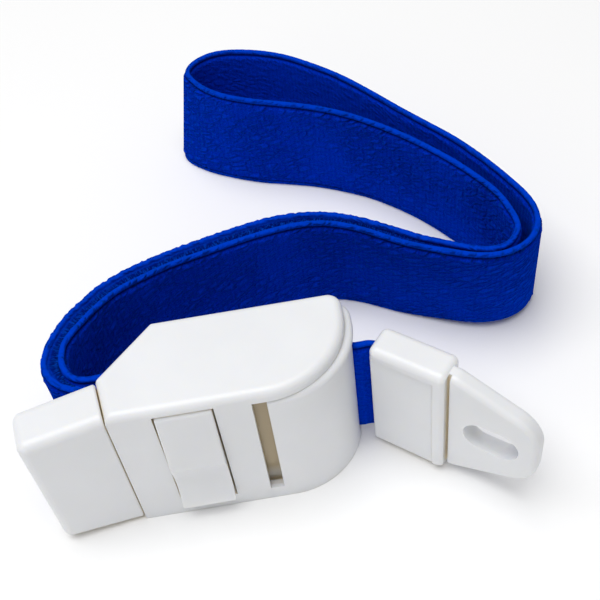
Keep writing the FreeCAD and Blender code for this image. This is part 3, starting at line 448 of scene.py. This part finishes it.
def strap_frame(line, low):
    """At each station: the strap's foot, the way up its width and the way across its thickness."""
    middle, lean = line[:, :2], line[:, 2:4]
    ahead = np.gradient(middle, axis=0)
    ahead /= np.linalg.norm(ahead, axis=1)[:, None]
    stand = base_height(middle[:, 0], middle[:, 1]) if low is None else np.full(len(line), low)
    spread = np.linalg.norm(lean, axis=1) * 2
    climb = np.sqrt(STRAP_WIDTH ** 2 - spread ** 2)
    up = np.column_stack([lean * 2, climb]) / STRAP_WIDTH
    across = np.column_stack([-ahead[:, 1], ahead[:, 0], np.zeros(len(line))])
    across -= up * np.sum(across * up, axis=1)[:, None]
    across /= np.linalg.norm(across, axis=1)[:, None]
    return np.column_stack([middle - lean, stand]), up, across


def strap_faces(stations, around):
    """Quads between neighbouring rings of points, then the two end caps."""
    faces = []
    for here in range(0, (stations - 1) * around, around):
        there = here + around
        for point in range(around):
            following = (point + 1) % around
            faces.append((here + point, here + following, there + following, there + point))
    faces.append(tuple(reversed(range(around))))
    faces.append(tuple(range((stations - 1) * around, stations * around)))
    return faces


def strap_mesh(name, route, start_along=0.0, fray_from=math.inf, low=None, part=(0.0, math.inf)):
    """A strap on edge along part of a route: rolled rims with a groove, pinches and a frayed far rim."""
    along, line = spline(route)
    foot, up, across = strap_frame(line, low)
    place = start_along + along
    frayed = np.clip((place - fray_from) / FRAY_GROWTH, 0, 1)
    ledge = np.interp(place, COARSE_ALONG, COARSE_WIDTH, 0, 0)
    scallop = wobble(place, *SCALLOP_WAVE) * (SCALLOP + FRAYED_SCALLOP * frayed)
    pinch = wobble(place, *PINCH_WAVE)
    swell = wobble(place, *SWELL_WAVE) * SWELL
    rings = []
    painted = {"along_mm": [], "across_mm": [], "rim": [], "groove": [], "wrinkled": [], "coarse": []}
    for height, half in section():
        from_top = STRAP_WIDTH - height
        depth = min(height, from_top)
        on_rim = max(0.0, 1 - depth / RIM_REACH)
        on_ledge = np.interp(from_top, COARSE_DEPTH, COARSE_SHARE) if half > 0 else 0.0
        stitch = bell(depth - STITCH_AT, STITCH_REACH)
        thickness = half * (1 + PINCH * on_rim * pinch * (WHOLE_PINCH + frayed)) + ledge * on_ledge
        thickness += np.sign(half) * (PINCH * stitch * pinch + swell * (1 - on_rim))
        lift = height + scallop * on_rim * (1 if from_top < height else -1)
        rings.append(foot + up * lift[:, None] + across * thickness[:, None])
        values = {"along_mm": place, "across_mm": height,
                  "rim": np.clip((BEAD_DEPTH - depth) / BEAD_FADE, 0, 1),
                  "groove": bell(depth - GROOVE_SHADE_AT, GROOVE_SHADE_REACH),
                  "wrinkled": CALM + WRINKLED * (half < 0),
                  "coarse": np.clip(ledge / COARSE_FULL, 0, 1) * on_ledge}
        for key, columns in painted.items():
            columns.append(np.broadcast_to(values[key], place.shape))
    first, last = np.searchsorted(along, part)
    kept = slice(first, last + 1)
    grid = np.stack(rings, axis=1)[kept] * MM
    grid[:, :, 2] = np.maximum(grid[:, :, 2], LOWEST)

    mesh = bpy.data.meshes.new(name)
    mesh.from_pydata(grid.reshape(-1, 3).tolist(), [], strap_faces(*grid.shape[:2]))
    for key, columns in painted.items():
        layer = mesh.attributes.new(key, "FLOAT", "POINT")
        layer.data.foreach_set("value", np.stack(columns, axis=1)[kept].astype(np.float32).ravel())
    mesh.polygons.foreach_set("use_smooth", [True] * (len(mesh.polygons) - 2) + [False] * 2)
    mesh.materials.append(WEBBING)
    mesh.update()
    item = bpy.data.objects.new(name, mesh)
    scene.collection.objects.link(item)
    return item, np.ptp(along[kept])


# The lead bends between housing and tongue; it meets the loop inside the housing's right end.
LEAD_TO = 12.4
lead, lead_length = strap_mesh("strap_lead_webbing", ROUTE, part=(0.0, LEAD_TO))
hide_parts("strap_lead")
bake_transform(lead)

strap, strap_length = strap_mesh("strap_webbing", ROUTE, fray_from=FRAY_FROM, part=(LEAD_TO, math.inf))
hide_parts("strap_loop")
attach(strap, "housing")


# The strap's inner end goes round the roller and out again, towards the grip.
ROLLER = np.array([-1.2, 3.25])
WRAP = 3.3                          # from the roller's axis to the strap's middle line
WRAP_ANGLES = (105, 70, 35, 0, -35, -65)
WRAP_BULGE = math.radians(11)       # sets the route's points a little further out than the curve
APPROACH = ((-13.9, 3.22, 0, 0), (-10.0, 4.27, 0, 0), (-6.0, 5.34, 0, 0))
GRIP_LEAN = math.radians(10.3)
LEAVE = ROLLER + WRAP * np.array([math.sin(GRIP_LEAN), -math.cos(GRIP_LEAN)])
PULL = -np.array([math.cos(GRIP_LEAN), math.sin(GRIP_LEAN)])
PULL_FROM, PULL_LENGTH, PULL_SPANS = 0.05, 32.4, 5
INNER_HEIGHT = CLIMB_HEIGHT[0]


def round_roller():
    """Middle line of the strap's inner end: up to the roller, round it and away from below."""
    turns = [math.radians(angle) for angle in WRAP_ANGLES]
    reach = WRAP / math.cos(WRAP_BULGE)
    corner = [(*(ROLLER + reach * np.array([math.cos(turn), math.sin(turn)])), 0, 0) for turn in turns]
    return [*APPROACH, *corner, (*LEAVE, 0, 0)]


def towards_grip():
    """Middle line of the pulled strand: straight from the roller into the grip."""
    lengths = [PULL_FROM + PULL_LENGTH * step / PULL_SPANS for step in range(PULL_SPANS + 1)]
    return [(*(LEAVE + PULL * length), 0, 0) for length in lengths]


inner_from = LEAD_TO + strap_length
inner_end, inner_length = strap_mesh("strap_inner_turn", round_roller(), inner_from, low=INNER_HEIGHT)
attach(inner_end, "housing")

tail, tail_length = strap_mesh("strap_pull_strand", towards_grip(), inner_from + inner_length,
                               low=INNER_HEIGHT)
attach(tail, "grip")
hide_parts("strap_tail")


# ---------------------------------------------------------------- floor, light and camera

FLOOR = 4.0                         # half its side, in metres
WORLD_WHITE, WORLD_STRENGTH = (1.0, 1.0, 1.0, 1.0), 0.30
AIM = Vector((0.0, 0.02, 0.01))     # what the lights point at

CAMERA_AT = Vector((11.02, -102.9, 164.18)) * MM
CAMERA_AHEAD = Vector((0.01201, 0.64777, -0.76174))
CAMERA_ROLL = math.radians(-8.59)


def area_light(name, location, width, height, power):
    """A rectangular lamp that points at AIM."""
    light = bpy.data.lights.new(name, "AREA")
    light.shape = "RECTANGLE"
    light.size, light.size_y = width, height
    light.energy = power
    item = bpy.data.objects.new(name, light)
    item.location = location
    item.rotation_mode = "QUATERNION"
    item.rotation_quaternion = (AIM - Vector(location)).to_track_quat("-Z", "Y")
    scene.collection.objects.link(item)


floor_mesh = bpy.data.meshes.new("floor")
floor_mesh.from_pydata([(-FLOOR, -FLOOR, 0), (FLOOR, -FLOOR, 0), (FLOOR, FLOOR, 0), (-FLOOR, FLOOR, 0)], [],
                       [(0, 1, 2, 3)])
floor_mesh.materials.append(floor_paint("floor_paint"))
floor = bpy.data.objects.new("floor", floor_mesh)
scene.collection.objects.link(floor)

world = bpy.data.worlds.new("studio")
world.use_nodes = True
background = world.node_tree.nodes["Background"]
background.inputs["Color"].default_value = WORLD_WHITE
background.inputs["Strength"].default_value = WORLD_STRENGTH
scene.world = world
scene.view_settings.view_transform = "Standard"

area_light("overhead_softbox", (-0.12, -0.03, 0.8), 0.7, 0.7, 6.2)
area_light("front_fill", (-0.40, -0.60, 0.35), 0.5, 0.3, 0.3)

camera_data = bpy.data.cameras.new("camera")
camera_data.sensor_width = 36.0
camera_data.lens = 60.0
camera_data.clip_start = 0.01
camera = bpy.data.objects.new("camera", camera_data)
scene.collection.objects.link(camera)
camera.rotation_mode = "QUATERNION"
roll = Matrix.Rotation(CAMERA_ROLL, 3, "Z").to_quaternion()
camera.rotation_quaternion = CAMERA_AHEAD.to_track_quat("-Z", "Y") @ roll
camera.location = CAMERA_AT
scene.camera = camera
